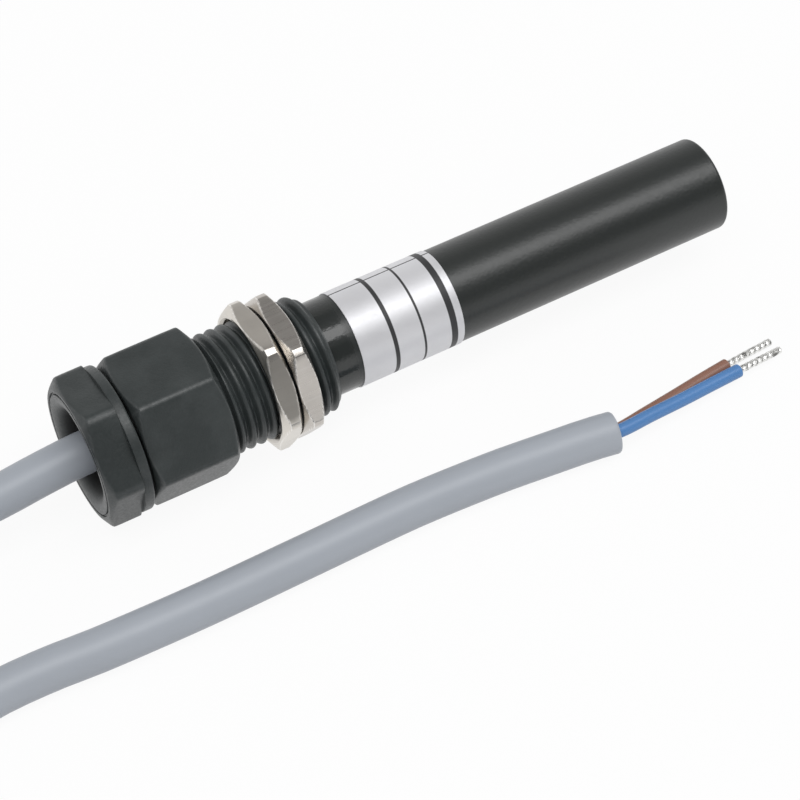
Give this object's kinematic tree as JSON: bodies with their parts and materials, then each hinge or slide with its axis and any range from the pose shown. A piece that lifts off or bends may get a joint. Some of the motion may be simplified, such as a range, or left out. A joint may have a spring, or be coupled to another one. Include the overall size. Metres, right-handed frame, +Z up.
{
  "type": "magnetic reed sensor",
  "caption": "Cylindrical magnetic reed sensor in a threaded cable gland with two lock nuts and a two-core lead folded for storage.",
  "frame": {"origin": "centre of the sensor's footprint without its lead, at the surface that the gland lies on", "axes": "+X along the axis from the gland's mouth to the closed sensing end, +Z up"},
  "size_m": [0.2171, 0.0484, 0.0225],
  "materials": {
    "black_polyamide": "moulded black, matt",
    "black_tube": "black, half gloss",
    "nickel_plate": "nickel-plated brass, turned and brushed",
    "silver_foil": "satin silver with black rules",
    "grey_pvc": "soft grey jacket",
    "brown_pvc": "brown core insulation",
    "blue_pvc": "blue core insulation",
    "tinned_copper": "tinned",
    "reed_metal": "bright iron-nickel",
    "reed_glass": "clear, greenish",
    "laminate": "green board",
    "potting_resin": "dark resin",
    "seal_rubber": "black rubber",
    "ring_polyamide": "natural hard plastic"
  },
  "bodies": {
    "sensor": {"gland_body": "black_polyamide", "seal_ring": "seal_rubber", "sensor_tube": "black_tube", "rating_label": "silver_foil", "carrier_board": "laminate", "reed_glass": "reed_glass", "reed_blade_near": "reed_metal", "reed_blade_far": "reed_metal", "solder_reed_near": "tinned_copper", "solder_reed_far": "tinned_copper", "potting_plug": "potting_resin", "inner_core_brown": "brown_pvc", "inner_core_blue": "blue_pvc", "cable_lead_out": "grey_pvc", "cable_coil": "grey_pvc", "cable_tail": "grey_pvc", "cable_tie": "black_polyamide", "core_brown": "brown_pvc", "core_blue": "blue_pvc", "tinned_end_brown": "tinned_copper", "tinned_end_blue": "tinned_copper"},
    "screw_carriage": {"thrust_ring": "ring_polyamide"},
    "pressure_screw": {"gland_pressure_screw": "black_polyamide"},
    "nut_gland_side": {"lock_nut_gland_side": "nickel_plate"},
    "nut_tube_side": {"lock_nut_tube_side": "nickel_plate"}
  },
  "joints": [
    {"name": "screw_turn", "type": "hinge", "parent": "screw_carriage", "child": "pressure_screw", "pos_m": [-0.04325, 0, 0.00915], "axis": [-1, 0, 0], "range_deg": [0, 1080]},
    {"name": "screw_travel", "type": "slide", "parent": "sensor", "child": "screw_carriage", "axis": [-1, 0, 0], "range_m": [0, 0.0044]},
    {"name": "nut_gland_side_travel", "type": "slide", "parent": "sensor", "child": "nut_gland_side", "axis": [-1, 0, 0], "range_m": [0, 0.0052]},
    {"name": "nut_tube_side_travel", "type": "slide", "parent": "sensor", "child": "nut_tube_side", "axis": [1, 0, 0], "range_m": [0, 0.0031]}
  ],
  "couplings": [
    {"joint": "screw_travel", "follows": "screw_turn", "m_per_rad": 0.00022457}
  ]
}
